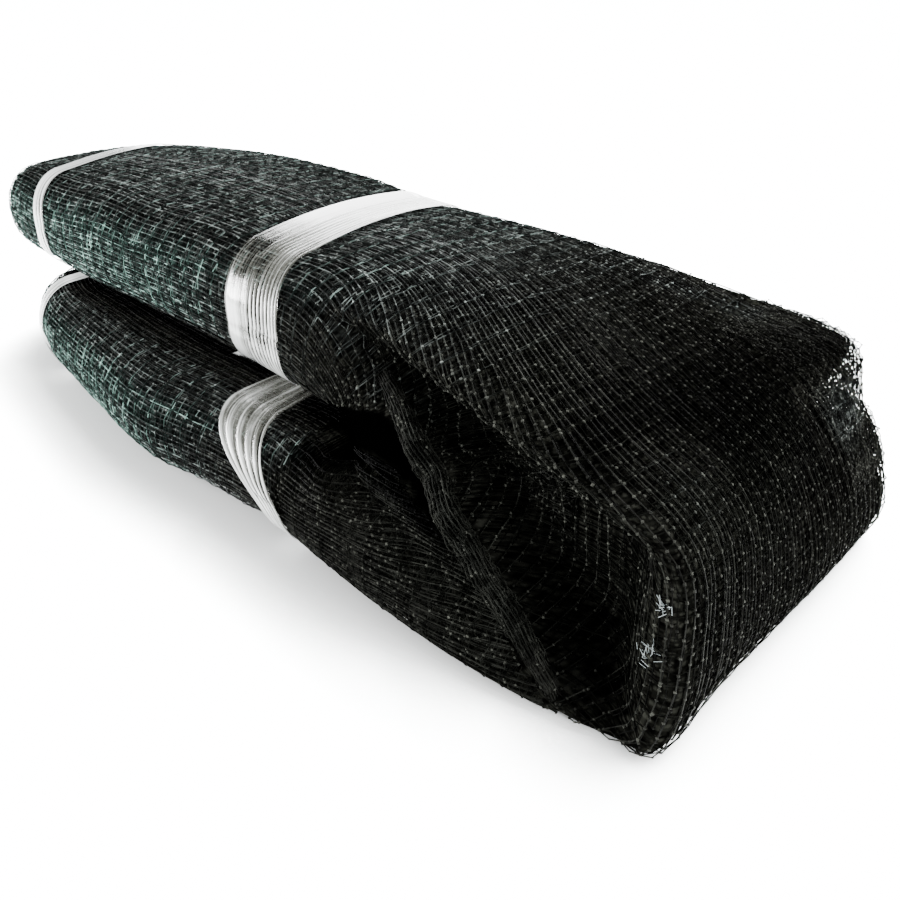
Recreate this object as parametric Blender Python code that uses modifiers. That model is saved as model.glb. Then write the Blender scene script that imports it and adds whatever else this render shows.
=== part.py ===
"""Bird netting: a long piece of black plastic net, gathered into a flat hank of many layers,
folded double and held by four bands of clear and white film.

The hank lies along X with its fold at the +X end. The lower run lies on the floor, the upper run
lies on it, and both end loose at the -X end. Metres, +Z up, origin under the middle.
"""

from collections import namedtuple

import bmesh
import bpy
import numpy as np
from mathutils import Matrix

MM = 0.001

# The hank is one loft along its folded length: out along the lower run, round the fold, and back
# along the upper run. Each section is a rounded flat oval that stands on a line from the crease
# side (in) to the outer side (out). Distances are in millimetres: back is measured from the fold's
# face, up from the floor, left and right from the hank's middle line.
Section = namedtuple(
    "Section",
    "back_out up_out back_in up_in left right round_out round_in crown lag drop",
)
SECTIONS = [
    # lower run, from its loose end: the outer side is the underside
    Section(798, 24.0, 796, 62, -62, 88, 18, 18, 0, 0, 0),
    Section(790, 6.0, 787, 77, -97, 121, 34, 34, 0, 0, 0),
    Section(768, 2.2, 764, 82, -123, 147, 41, 40, 0, 0, 0),
    Section(715, 2.2, 711, 83, -145, 159, 42, 40, 0, 0, 0),
    Section(640, 2.2, 640, 86, -158, 165, 43, 42, 0, 0, 0),
    Section(590, 0.0, 590, 88, -165, 168, 45, 42, 0, 0, 0),
    Section(460, 0.0, 460, 90, -180, 175, 45, 45, 0, 0, 0),
    Section(410, 2.2, 410, 89, -174, 168, 44, 44, 0, 0, 0),
    Section(340, 2.2, 342, 88, -169, 165, 43, 43, 0, 0, 0),
    Section(280, 2.2, 305, 88, -167, 171, 42, 41, 0, 0, 0),
    Section(240, 0.0, 280, 88, -167, 173, 38, 38, 0, 0, 0),
    # the fold: its bottom, its upright face and the slope behind its top edge
    Section(160, 0.0, 262, 88, -165, 177, 28, 28, 0, 0, 0),
    Section(70, 0.0, 250, 88, -157, 179, 20, 20, 0, 0, 0),
    Section(4, 3.0, 245, 89, -143, 177, 16, 16, 0, 0, 0),
    Section(-12, 35.0, 243, 90, -143, 171, 17, 15, 0, 0, 0),
    Section(-12, 80.0, 243, 91, -143, 163, 17, 15, 0, 10, 0),
    Section(-3, 118.0, 244, 92, -137, 157, 18, 15, 0, 28, 4),
    Section(18, 138.0, 247, 93, -137, 155, 19, 16, 4, 34, 4),
    Section(70, 156.0, 253, 94, -137, 151, 22, 20, 8, 20, 2),
    Section(150, 172.0, 265, 95, -133, 143, 30, 28, 10, 5, 0),
    # upper run, to its loose end: the outer side is the top
    Section(250, 183.0, 292, 95, -127, 131, 44, 40, 12, 0, 0),
    Section(395, 185.0, 395, 95, -119, 127, 48, 40, 10, 0, 0),
    Section(520, 186.0, 520, 95, -117, 145, 50, 40, 10, 0, 0),
    Section(680, 182.0, 680, 93, -115, 147, 50, 38, 10, 0, 0),
    Section(825, 174.0, 825, 90, -103, 119, 46, 36, 8, 0, 0),
    Section(862, 170.0, 860, 90, -95, 111, 44, 34, 6, 0, 0),
    Section(886, 162.0, 882, 96, -75, 91, 34, 28, 3, 0, 0),
    Section(899, 143.0, 897, 113, -41, 59, 12, 12, 0, 0, 0),
]
FOLD_ROWS = (10, 20)  # the rows that the fold starts and ends with
RUN_STEPS = 2  # rings from one section to the next along a run
FOLD_STEPS = 5  # and round the fold, whose sides are drawn in
FLAT_POINTS = 7  # points across each broad side of a ring
WRAP_POINTS = 15  # points down each narrow side of a ring
RING_POINTS = 2 * (FLAT_POINTS + WRAP_POINTS)
CORNER_POINTS = 7  # points that draw each rounded corner, and
BROAD_POINTS = 13  # each broad side, before a ring is divided evenly
CORNER_SHARE = 0.52  # the most of a section's depth that an outer corner may take

# The narrow sides of the fold are drawn in: only the outermost layers keep the full width, and
# the inner layers stop short of them. The hollow is a triangle under the top edge, behind the
# face and over a slanting ridge from high at the back to the floor at the front.
RIM = 10 * MM
FACE_BACK = 12 * MM
TOP_EDGE_BACK = np.array([0, 22, 70, 150, 250]) * MM
TOP_EDGE_UP = np.array([128, 142, 160, 176, 190]) * MM
RIDGE_TOP = np.array([262, 150]) * MM
RIDGE_FOOT = np.array([45, 0]) * MM
HOLLOW_SLOPE = 30 * MM
HOLLOW_DEPTH = {"left": 50 * MM, "right": 34 * MM}
HOLLOW_STARTS = 0.6  # the share of a side's half width beyond which points are drawn in
HOLLOW_EASINGS = 8  # passes that even out the hollow's walls

# Film bands. Each is a strip round one run; its two edges are given where they cross the run's
# left side, outer side, right side and inner side, in millimetres back from the fold's face.
Edge = namedtuple("Edge", "left outer right inner")
Band = namedtuple("Band", "name run near far tail")
BANDS = [
    Band("band_upper_mid", "upper", Edge(333, 368, 372, 360), Edge(404, 430, 434, 424), 30),
    Band("band_upper_far", "upper", Edge(733, 790, 836, 784), Edge(759, 817, 862, 810), 0),
    Band("band_lower_mid", "lower", Edge(306, 294, 330, 350), Edge(362, 308, 362, 388), 0),
    Band("band_lower_far", "lower", Edge(702, 684, 728, 736), Edge(730, 712, 752, 756), 0),
]
FILM = 0.9 * MM
FILM_GAP = 0.8 * MM  # clear space between the film and the hank
BAND_STRIPS = 2  # rows of faces across each band
TAIL_AT = -2.62  # where the torn tail leaves the band, radians round the section
TAIL_SPREAD = 0.2
NET_ROUGHNESS, FILM_ROUGHNESS = 0.55, 0.25

NET_COLOUR = (0.012, 0.014, 0.014, 1.0)
CLEAR_FILM_COLOUR = (0.78, 0.79, 0.78, 1.0)
WHITE_FILM_COLOUR = (0.86, 0.87, 0.87, 1.0)


def smooth_step(low, high, value):
    share = np.clip((value - low) / (high - low), 0.0, 1.0)
    return share * share * (3.0 - 2.0 * share)


def interpolated_section(place):
    """The section at a place along the table, such as 4.5 halfway from row 4 to row 5, in metres.
    A smooth curve passes through the rows, with slopes weighted by how far apart they are."""
    rows = np.array(SECTIONS) * MM
    row = min(int(place), len(rows) - 2)
    share = place - row
    before = rows[row - 1] if row else 2 * rows[0] - rows[1]
    after = rows[row + 2] if row + 2 < len(rows) else 2 * rows[-1] - rows[-2]
    start, end = rows[row], rows[row + 1]
    gaps = [
        np.sqrt(np.linalg.norm(b - a)) for a, b in ((before, start), (start, end), (end, after))
    ]
    slope_in = (start - before) / gaps[0] - (end - before) / (gaps[0] + gaps[1])
    slope_out = (end - start) / gaps[1] - (after - start) / (gaps[1] + gaps[2])
    leave = (slope_in + (end - start) / gaps[1]) * gaps[1]
    arrive = (slope_out + (after - end) / gaps[2]) * gaps[1]
    two, three = share**2, share**3
    values = (
        (2 * three - 3 * two + 1) * start
        + (three - 2 * two + share) * leave
        + (3 * two - 2 * three) * end
        + (three - two) * arrive
    )
    return Section(*values)


def evenly(points, count):
    """count points at even steps along a chain, without its last point."""
    points = np.array(points)
    along = np.r_[0.0, np.cumsum(np.linalg.norm(np.diff(points, axis=0), axis=1))]
    wanted = np.linspace(0.0, along[-1], count, endpoint=False)
    return np.column_stack([np.interp(wanted, along, points[:, k]) for k in (0, 1)])


def corner(middle_y, middle_n, radius, start):
    """A quarter round, clockwise from the angle start, as (y, n) points."""
    angles = start - np.linspace(0.0, np.pi / 2, CORNER_POINTS)
    return [(middle_y + radius * np.cos(a), middle_n + radius * np.sin(a)) for a in angles]


def outline(section, depth):
    """The ring of one section as (y, n) points, n from 0 at the crease side to depth outside."""
    out_r = min(section.round_out, CORNER_SHARE * depth)
    in_r = min(section.round_in, depth - out_r)
    left, right = section.left, section.right
    middle, half = (left + right) / 2, (right - left) / 2
    across = np.linspace(left + out_r, right - out_r, BROAD_POINTS)
    swell = section.crown * (1 - ((across - middle) / half) ** 2)
    outer = np.column_stack([across, depth + swell])
    high = outer[0][1] - out_r
    right_wrap = corner(right - out_r, high, out_r, np.pi / 2)
    right_wrap += corner(right - in_r, in_r, in_r, 0.0)
    inner = [(right - in_r, 0.0), (left + in_r, 0.0)]
    left_wrap = corner(left + in_r, in_r, in_r, -np.pi / 2)
    left_wrap += corner(left + out_r, high, out_r, np.pi)
    return np.vstack(
        [
            evenly(outer, FLAT_POINTS),
            evenly(right_wrap, WRAP_POINTS),
            evenly(inner, FLAT_POINTS),
            evenly(left_wrap, WRAP_POINTS),
        ]
    )


def hollow_share(back, up):
    """How far into the fold's side hollow a point is, from 0 outside it to 1 on its floor."""
    under_top = np.interp(back, TOP_EDGE_BACK, TOP_EDGE_UP) - RIM - up
    along = (RIDGE_FOOT - RIDGE_TOP) / np.linalg.norm(RIDGE_FOOT - RIDGE_TOP)
    over_ridge = along[1] * (back - RIDGE_TOP[0]) - along[0] * (up - RIDGE_TOP[1])
    inside = np.minimum(np.minimum(back - FACE_BACK, under_top), over_ridge)
    return smooth_step(0.0, HOLLOW_SLOPE, inside)


def ring(place):
    """The hank's ring at a place along the table: an array of (x, y, z) points."""
    section = interpolated_section(place)
    step_back = section.back_out - section.back_in
    step_up = section.up_out - section.up_in
    depth = np.hypot(step_back, step_up)
    points = outline(section, depth)
    y, share = points[:, 0], points[:, 1] / depth
    back = section.back_in + step_back * share
    up = section.up_in + step_up * share
    across = np.clip((y - section.left) / (section.right - section.left), 0.0, 1.0) * share
    back = back + section.lag * across
    up = up - section.drop * across
    middle, half = (section.left + section.right) / 2, (section.right - section.left) / 2
    outward = (y - middle) / half
    drawn_in = hollow_share(back, up)
    y = y + HOLLOW_DEPTH["left"] * drawn_in * smooth_step(HOLLOW_STARTS, 1.0, -outward)
    y = y - HOLLOW_DEPTH["right"] * drawn_in * smooth_step(HOLLOW_STARTS, 1.0, outward)
    return np.column_stack([-back, y, np.maximum(up, 0.0)])


def angles_round(points, run):
    """The angle of each ring point: 0 at the right, then outer side, left, crease side."""
    lows, highs = points.min(axis=0)[1:], points.max(axis=0)[1:]
    y, z = ((points[:, 1:] - (lows + highs) / 2) / (highs - lows)).T
    return np.arctan2(z if run == "upper" else -z, y)


def at_angle(edge, angle):
    """An edge's distance back at an angle round the section, smooth through its four values."""
    mean = sum(edge) / 4
    sway = (edge.right - edge.left) / 2
    lean = (edge.outer - edge.inner) / 2
    twist = (edge.right + edge.left - edge.outer - edge.inner) / 4
    return mean + sway * np.cos(angle) + lean * np.sin(angle) + twist * np.cos(2 * angle)


def offset(points, distance):
    """A ring moved outward in its own plane, by its corners' normals in (y, z)."""
    run_on = np.roll(points, -1, axis=0) - np.roll(points, 1, axis=0)
    normals = np.column_stack([np.zeros(len(points)), -run_on[:, 2], run_on[:, 1]])
    normals /= np.linalg.norm(normals, axis=1)[:, None]
    turn = np.sum(points[:, 1] * np.roll(points[:, 2], -1) - points[:, 2] * np.roll(points[:, 1], -1))
    return points + normals * distance * (-1 if turn > 0 else 1)


def on_column(rings, column, back):
    """The point of one column of the run's rings that is this far back from the fold's face."""
    line = np.array([points[column] for points in rings])
    line = line[np.argsort(line[:, 0])]
    return np.array([np.interp(-back, line[:, 0], line[:, k]) for k in range(3)])


def new_object(name, shape, colour, roughness, collection):
    mesh = bpy.data.meshes.new(name)
    shape.to_mesh(mesh)
    shape.free()
    mesh.shade_smooth()
    material = bpy.data.materials.new(name)
    material.use_nodes = True
    surface = material.node_tree.nodes["Principled BSDF"]
    surface.inputs["Base Color"].default_value = colour
    surface.inputs["Roughness"].default_value = roughness
    surface.inputs["Metallic"].default_value = 0.0
    mesh.materials.append(material)
    thing = bpy.data.objects.new(name, mesh)
    collection.objects.link(thing)
    return thing


def loft(rings, capped):
    """A bmesh skin through rings of equal length, closed round them and, if capped, at its ends."""
    shape = bmesh.new()
    loops = [[shape.verts.new(point) for point in points] for points in rings]
    for first, second in zip(loops, loops[1:]):
        for k in range(len(first)):
            after = (k + 1) % len(first)
            shape.faces.new((first[k], first[after], second[after], second[k]))
    if capped:
        for loop in (loops[0], loops[-1]):
            shape.faces.new(loop)
    bmesh.ops.recalc_face_normals(shape, faces=shape.faces)
    return shape


def ring_places():
    """Where the hank's rings lie along the table, and how many belong to each run."""
    first, last = FOLD_ROWS
    lower = np.linspace(0, first, RUN_STEPS * first + 1)
    fold = np.linspace(first, last, FOLD_STEPS * (last - first) + 1)
    upper = np.linspace(last, len(SECTIONS) - 1, RUN_STEPS * (len(SECTIONS) - 1 - last) + 1)
    return np.concatenate([lower, fold[1:-1], upper]), len(lower), len(upper)


def make_netting(rings, fold_rings, collection):
    shape = loft(rings, capped=True)
    shape.verts.ensure_lookup_table()
    wraps = [k for k in range(RING_POINTS) if k % (FLAT_POINTS + WRAP_POINTS) > FLAT_POINTS]
    drawn_in = [shape.verts[number * RING_POINTS + k] for number in fold_rings for k in wraps]
    for _ in range(HOLLOW_EASINGS):
        bmesh.ops.smooth_vert(shape, verts=drawn_in, factor=0.5, use_axis_y=True)
    return new_object("netting", shape, NET_COLOUR, NET_ROUGHNESS, collection)


def make_band(band, rings, collection):
    """A strip of film round the run that these rings make, as an open skin with Solidify."""
    skins = [offset(points, FILM_GAP) for points in rings]
    angles = angles_round(skins[len(skins) // 2], band.run)
    near = at_angle(band.near, angles) * MM
    far = at_angle(band.far, angles) * MM
    apart = np.abs(np.angle(np.exp(1j * (angles - TAIL_AT))))
    far = far + band.tail * MM * np.maximum(0.0, 1 - apart / TAIL_SPREAD)
    strips = [
        [on_column(skins, k, near[k] + (far[k] - near[k]) * share) for k in range(RING_POINTS)]
        for share in np.linspace(0.0, 1.0, BAND_STRIPS + 1)
    ]
    clear = band.name.endswith("mid")
    colour = CLEAR_FILM_COLOUR if clear else WHITE_FILM_COLOUR
    thing = new_object(
        band.name, loft(strips, capped=False), colour, FILM_ROUGHNESS, collection
    )
    wall = thing.modifiers.new("film", "SOLIDIFY")
    wall.thickness = FILM
    wall.offset = 1.0
    return thing


def centre_on_floor(things):
    """Moves every mesh so that the whole box stands centred over the origin."""
    points = np.array([v.co for thing in things for v in thing.data.vertices])
    lows, highs = points.min(axis=0), points.max(axis=0)
    shift = Matrix.Translation((-(lows[0] + highs[0]) / 2, -(lows[1] + highs[1]) / 2, 0.0))
    for thing in things:
        thing.data.transform(shift)


for leftover in list(bpy.data.objects):
    bpy.data.objects.remove(leftover, do_unlink=True)
bird_netting = bpy.data.collections.new("bird_netting")
bpy.context.scene.collection.children.link(bird_netting)
places, in_lower, in_upper = ring_places()
hank = [ring(place) for place in places]
runs = {"lower": hank[:in_lower], "upper": hank[-in_upper:]}
pieces = [make_netting(hank, range(in_lower, len(hank) - in_upper), bird_netting)]
pieces += [make_band(band, runs[band.run], bird_netting) for band in BANDS]
centre_on_floor(pieces)
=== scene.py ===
from collections import namedtuple
from functools import partial, reduce

import bmesh
import bpy
import numpy as np
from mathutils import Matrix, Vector
from mathutils.bvhtree import BVHTree


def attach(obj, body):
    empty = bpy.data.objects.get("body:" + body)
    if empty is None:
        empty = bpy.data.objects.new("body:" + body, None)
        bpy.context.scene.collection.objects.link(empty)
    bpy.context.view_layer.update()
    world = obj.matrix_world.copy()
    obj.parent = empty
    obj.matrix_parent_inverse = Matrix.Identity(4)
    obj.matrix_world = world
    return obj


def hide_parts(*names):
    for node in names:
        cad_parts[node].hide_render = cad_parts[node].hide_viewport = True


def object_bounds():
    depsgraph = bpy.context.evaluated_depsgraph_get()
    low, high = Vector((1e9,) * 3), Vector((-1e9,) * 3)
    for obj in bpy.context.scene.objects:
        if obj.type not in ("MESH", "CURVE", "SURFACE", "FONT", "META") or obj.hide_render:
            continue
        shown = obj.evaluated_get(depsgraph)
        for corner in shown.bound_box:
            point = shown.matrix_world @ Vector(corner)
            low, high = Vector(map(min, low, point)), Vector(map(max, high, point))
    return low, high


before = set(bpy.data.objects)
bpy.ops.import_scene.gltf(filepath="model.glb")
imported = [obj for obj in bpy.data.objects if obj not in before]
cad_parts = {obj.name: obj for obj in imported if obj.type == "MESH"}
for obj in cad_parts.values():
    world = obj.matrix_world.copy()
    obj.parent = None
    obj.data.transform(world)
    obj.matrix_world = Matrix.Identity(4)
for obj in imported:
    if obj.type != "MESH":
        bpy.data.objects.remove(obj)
cad_low, cad_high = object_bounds()

# The bulk of the hank. Dozens of layers of black plastic net, gathered lengthwise into a soft flat
# bundle and folded double. The inner layers can't be told apart, so they are one dark body, drawn
# in at the sides of the fold, whose surface carries the mesh of the layers just under the outside.
MM = 0.001
# Each section across the hank: its outer and inner side, back from the fold and up, its left and
# right edges, the radius of its outer and inner corners, how far its outer side swells, and how
# far that side's right edge lags back and drops; all in mm.
Section = namedtuple(
    "Section",
    "back_out up_out back_in up_in left right round_out round_in crown lag drop",
)
SECTIONS = [
    # lower run, from its loose end: the outer side is the underside
    (798, 24.0, 796, 62, -62, 88, 18, 18, 0, 0, 0),
    (790, 6.0, 787, 77, -97, 121, 34, 34, 0, 0, 0),
    (768, 2.2, 764, 82, -123, 147, 41, 40, 0, 0, 0),
    (715, 2.2, 711, 83, -145, 159, 42, 40, 0, 0, 0),
    (640, 2.2, 640, 86, -158, 165, 43, 42, 0, 0, 0),
    (590, 0.0, 590, 88, -165, 168, 45, 42, 0, 0, 0),
    (460, 0.0, 460, 90, -180, 175, 45, 45, 0, 0, 0),
    (410, 2.2, 410, 89, -174, 168, 44, 44, 0, 0, 0),
    (340, 2.2, 342, 88, -169, 165, 43, 43, 0, 0, 0),
    (280, 2.2, 305, 88, -167, 171, 42, 41, 0, 0, 0),
    (240, 0.0, 280, 88, -167, 173, 38, 38, 0, 0, 0),
    # the fold: its bottom, its upright face and the slope behind its top edge
    (160, 0.0, 262, 88, -165, 177, 28, 28, 0, 0, 0),
    (70, 0.0, 250, 88, -157, 179, 20, 20, 0, 0, 0),
    (4, 3.0, 245, 89, -143, 177, 16, 16, 0, 0, 0),
    (-12, 35.0, 243, 90, -143, 171, 17, 15, 0, 0, 0),
    (-12, 80.0, 243, 91, -143, 163, 17, 15, 0, 10, 0),
    (-3, 118.0, 244, 92, -137, 157, 18, 15, 0, 28, 4),
    (18, 138.0, 247, 93, -137, 155, 19, 16, 4, 34, 4),
    (70, 156.0, 253, 94, -137, 151, 22, 20, 8, 20, 2),
    (150, 172.0, 265, 95, -133, 143, 30, 28, 10, 5, 0),
    # upper run, to its loose end: the outer side is the top
    (250, 183.0, 292, 95, -127, 131, 44, 40, 12, 0, 0),
    (395, 185.0, 395, 95, -119, 127, 48, 40, 10, 0, 0),
    (520, 186.0, 520, 95, -117, 145, 50, 40, 10, 0, 0),
    (680, 182.0, 680, 93, -115, 147, 50, 38, 10, 0, 0),
    (825, 174.0, 825, 90, -103, 119, 46, 36, 8, 0, 0),
    (862, 170.0, 860, 90, -95, 111, 44, 34, 6, 0, 0),
    (886, 162.0, 882, 96, -75, 91, 34, 28, 3, 0, 0),
    (899, 143.0, 897, 113, -41, 59, 12, 12, 0, 0, 0),
]
FOLD_ROWS, RINGS_PER_ROW = (10, 20), 10
HALF_FLAT = 20  # columns across half of a broad side
WRAP = 44  # columns down a narrow side
COLUMNS = 4 * HALF_FLAT + 2 * WRAP
FLAT_POINTS, CORNER_POINTS = 9, 13  # drawn across half of a broad side and round a corner
OUTER_CORNER = 0.52  # an outer corner's radius is at most this share of the depth
TIP_RINGS = ((0.30, 6.5), (0.60, 5.0), (0.86, 2.2))  # rounded tips: share of the height, mm proud
TIP_WIDTH, TIP_CURVE = 0.55, 0.25  # how their width goes with that: least share, and power
RING_INSIDE = 5  # counted from a loose end's ring, it tells which way is out
FOLD_EASING = 6  # times that the fold's rings are evened out
EVEN_PLACES = ((2, 9), (21, 25))  # where the runs are measured round

# The hollow in each side of the fold: how far it starts behind the face and under the top edge,
# the slanting ridge that ends it below, the width of its slope, its depth, and where its bend
# starts, as a share of half the width.
FACE_BACK, RIM = 12 * MM, 10 * MM
TOP_EDGE_BACK = np.array([0, 22, 70, 150, 250]) * MM
TOP_EDGE_UP = np.array([128, 142, 160, 176, 190]) * MM
RIDGE_TOP, RIDGE_FOOT = np.array([262, 150]) * MM, np.array([45, 0]) * MM
HOLLOW_SLOPE = 30 * MM
HOLLOW_DEPTH = {"left": 50 * MM, "right": 34 * MM}
HOLLOW_STARTS = 0.6


def ease(low, high, value):
    """0 at the low value and 1 at the high one, smooth between them; either may be the larger."""
    share = np.clip((value - low) / (high - low), 0.0, 1.0)
    return share * share * (3.0 - 2.0 * share)


def interpolated_section(place):
    """The section, in metres, at a place in the table, such as 4.5 halfway from row 4 to row 5,
    on a smooth curve through the rows."""
    row = min(int(place), len(SECTIONS) - 2)
    share = place - row
    rows = np.array(SECTIONS) * MM
    rows = np.vstack([2 * rows[0] - rows[1], rows, 2 * rows[-1] - rows[-2]])
    before, start, end, after = rows[row : row + 4]
    gaps = np.sqrt(np.linalg.norm(np.diff(rows[row : row + 4], axis=0), axis=1))
    slope_in = (start - before) / gaps[0] - (end - before) / (gaps[0] + gaps[1])
    slope_out = (end - start) / gaps[1] - (after - start) / (gaps[1] + gaps[2])
    leave = (slope_in + (end - start) / gaps[1]) * gaps[1]
    arrive = (slope_out + (after - end) / gaps[2]) * gaps[1]
    two, three = share**2, share**3
    values = (
        (2 * three - 3 * two + 1) * start
        + (three - 2 * two + share) * leave
        + (3 * two - 2 * three) * end
        + (three - two) * arrive
    )
    return Section(*values)


def evenly(points, count):
    """count points at even steps along a chain, without its last point."""
    points = np.array(points)
    along = np.r_[0.0, np.cumsum(np.linalg.norm(np.diff(points, axis=0), axis=1))]
    wanted = np.linspace(0.0, along[-1], count, endpoint=False)
    return np.column_stack([np.interp(wanted, along, points[:, k]) for k in (0, 1)])


def corner(middle_y, middle_n, radius, start):
    """A quarter round, clockwise from the angle start, as (y, n) points."""
    angles = start - np.linspace(0.0, np.pi / 2, CORNER_POINTS)
    return [(middle_y + radius * np.cos(a), middle_n + radius * np.sin(a)) for a in angles]


def outline(section, depth):
    """One ring as (y, n) points from the middle of the outer side, clockwise. n is 0 at the
    crease side and depth at the outer side."""
    out_r = min(section.round_out, OUTER_CORNER * depth)
    in_r = min(section.round_in, depth - out_r)
    left, right = section.left, section.right
    middle, half = (left + right) / 2, (right - left) / 2

    def crowned(start, end):
        across = np.linspace(start, end, FLAT_POINTS)
        swell = section.crown * (1 - ((across - middle) / half) ** 2)
        return np.column_stack([across, depth + swell])

    outer_right = crowned(middle, right - out_r)
    outer_left = crowned(left + out_r, middle)
    high = outer_left[0][1] - out_r
    right_wrap = corner(right - out_r, high, out_r, np.pi / 2)
    right_wrap += corner(right - in_r, in_r, in_r, 0.0)
    left_wrap = corner(left + in_r, in_r, in_r, -np.pi / 2)
    left_wrap += corner(left + out_r, high, out_r, np.pi)
    return np.vstack(
        [
            evenly(outer_right, HALF_FLAT),
            evenly(right_wrap, WRAP),
            evenly([(right - in_r, 0.0), (left + in_r, 0.0)], 2 * HALF_FLAT),
            evenly(left_wrap, WRAP),
            evenly(outer_left, HALF_FLAT),
        ]
    )


def unit(vectors):
    return vectors / np.linalg.norm(vectors, axis=-1, keepdims=True)


def ahead_of(top, foot, back, up):
    """How far points lie ahead of and above a slanting line, in metres; negative behind it."""
    along = unit(foot - top)
    return along[1] * (back - top[0]) - along[0] * (up - top[1])


def hollow_share(back, up):
    """How far into the fold's side hollow a point is, from 0 outside it to 1 on its floor."""
    under_top = np.interp(back, TOP_EDGE_BACK, TOP_EDGE_UP) - RIM - up
    over_ridge = ahead_of(RIDGE_TOP, RIDGE_FOOT, back, up)
    inside = np.minimum(np.minimum(back - FACE_BACK, under_top), over_ridge)
    return ease(0.0, HOLLOW_SLOPE, inside)


def hank_ring(place):
    """The hank's ring at a place along the table: an array of (x, y, z) points."""
    section = interpolated_section(place)
    step_back = section.back_out - section.back_in
    step_up = section.up_out - section.up_in
    depth = np.hypot(step_back, step_up)
    points = outline(section, depth)
    y, share = points[:, 0], points[:, 1] / depth
    width = section.right - section.left
    across = np.clip((y - section.left) / width, 0.0, 1.0) * share
    back = section.back_in + step_back * share + section.lag * across
    up = section.up_in + step_up * share - section.drop * across
    to_right = (y - (section.left + section.right) / 2) / (width / 2)
    drawn_in = hollow_share(back, up)
    for side, way in (("left", -1), ("right", 1)):
        bend = ease(HOLLOW_STARTS, 1.0, way * to_right)
        y = y - way * HOLLOW_DEPTH[side] * drawn_in * bend
    return np.column_stack([-back, y, np.maximum(up, 0.0)])


def tip_rings(end, inside):
    """The rings that round off a loose end, from its middle outwards."""
    middle, out = end.mean(axis=0), np.sign(end[0, 0] - inside[0, 0])
    rings = []
    for size, proud in TIP_RINGS:
        width = (TIP_WIDTH + (1 - TIP_WIDTH) * size) * size**TIP_CURVE
        rings.append(middle + (end - middle) * (1.0, width, size) + (out * proud * MM, 0.0, 0.0))
    return rings


# the form: an array of rings from the lower loose end, round the fold, to the upper loose end
places = np.linspace(0.0, len(SECTIONS) - 1, RINGS_PER_ROW * (len(SECTIONS) - 1) + 1)
form = [hank_ring(place) for place in places]
tips = [tip_rings(form[0], form[RING_INSIDE]), tip_rings(form[-1], form[-1 - RING_INSIDE])]
form = np.array(tips[0] + form + tips[1][::-1])
tip_places = np.linspace(0.1, 0.3, len(TIP_RINGS))
places = np.r_[-tip_places[::-1], places, places[-1] + tip_places]
shift_x = cad_high.x - form[:, :, 0].max()
shift_y = -(form[:, :, 1].min() + form[:, :, 1].max()) / 2
form += np.array([shift_x, shift_y, 0.0])
in_fold = ((places > FOLD_ROWS[0]) & (places < FOLD_ROWS[1]))[:, None]
for _ in range(FOLD_EASING):
    eased = (np.roll(form, 1, axis=1) + np.roll(form, -1, axis=1)) / 2
    eased[1:-1] = (eased[1:-1] + (form[2:] + form[:-2]) / 2) / 2
    form[:, :, 1] = np.where(in_fold, eased[:, :, 1], form[:, :, 1])
back_of = shift_x - form[:, :, 0]
around_form = (np.roll(form, -1, axis=1) - np.roll(form, 1, axis=1)) / 2
outward = np.cross(around_form, np.gradient(form, axis=0))
outward /= np.linalg.norm(outward, axis=2)[:, :, None] + 1e-12

# the way along the middle of the outer side, and the way round from there, left negative
LENGTHS = np.r_[0.0, np.cumsum(np.linalg.norm(np.diff(form[:, 0], axis=0), axis=1))]
steps = np.linalg.norm(np.roll(form, -1, axis=1) - form, axis=2)
is_even = np.any([(places > low) & (places < high) for low, high in EVEN_PLACES], axis=0)
mean_steps = steps[is_even].mean(axis=0)
right_way = np.r_[0.0, np.cumsum(mean_steps[: COLUMNS // 2])]
left_way = np.r_[0.0, np.cumsum(mean_steps[::-1][: COLUMNS // 2])]
ROUNDS = np.r_[-left_way[::-1], right_way[1:]]
ROUND_COLUMNS = np.arange(-(COLUMNS // 2), COLUMNS // 2 + 1)

# Where the film bands press on the net. Each band is a strip round one run, and its two edges are
# given where they cross the run's left, outer, right and inner side, in mm back from the fold, with
# the length of its torn tail.
Edge = namedtuple("Edge", "left outer right inner")
Band = namedtuple("Band", "name run near far tail")
BANDS = [
    Band("band_upper_mid", "upper", Edge(333, 368, 372, 360), Edge(404, 430, 434, 424), 28.8),
    Band("band_upper_far", "upper", Edge(733, 790, 836, 784), Edge(759, 817, 862, 810), 0),
    Band("band_lower_mid", "lower", Edge(306, 294, 330, 350), Edge(362, 308, 362, 388), 0),
    Band("band_lower_far", "lower", Edge(702, 684, 728, 736), Edge(730, 712, 752, 756), 0),
]
RUN_ROWS = {"lower": places <= FOLD_ROWS[0], "upper": places >= FOLD_ROWS[1]}
PRESS_FROM, PRESS_FULL = -12 * MM, -1 * MM  # inside a band's edges; negative is outside them
UNDER_FILM = -1.2 * MM  # how proud the net lies under a band


def angles_round(run):
    """The angle of each column in the middle of a run: 0 right, then outer, left, crease side."""
    rows = np.flatnonzero(RUN_ROWS[run])
    points = form[rows[len(rows) // 2]]
    lows, highs = points.min(axis=0)[1:], points.max(axis=0)[1:]
    y, z = ((points[:, 1:] - (lows + highs) / 2) / (highs - lows)).T
    return np.arctan2(z if run == "upper" else -z, y)


def at_angle(edge, angle):
    """An edge's distance back at an angle round the section, smooth through its four values."""
    mean = sum(edge) / 4
    sway = (edge.right - edge.left) / 2
    lean = (edge.outer - edge.inner) / 2
    twist = (edge.right + edge.left - edge.outer - edge.inner) / 4
    return (mean + sway * np.cos(angle) + lean * np.sin(angle) + twist * np.cos(2 * angle)) * MM


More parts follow.
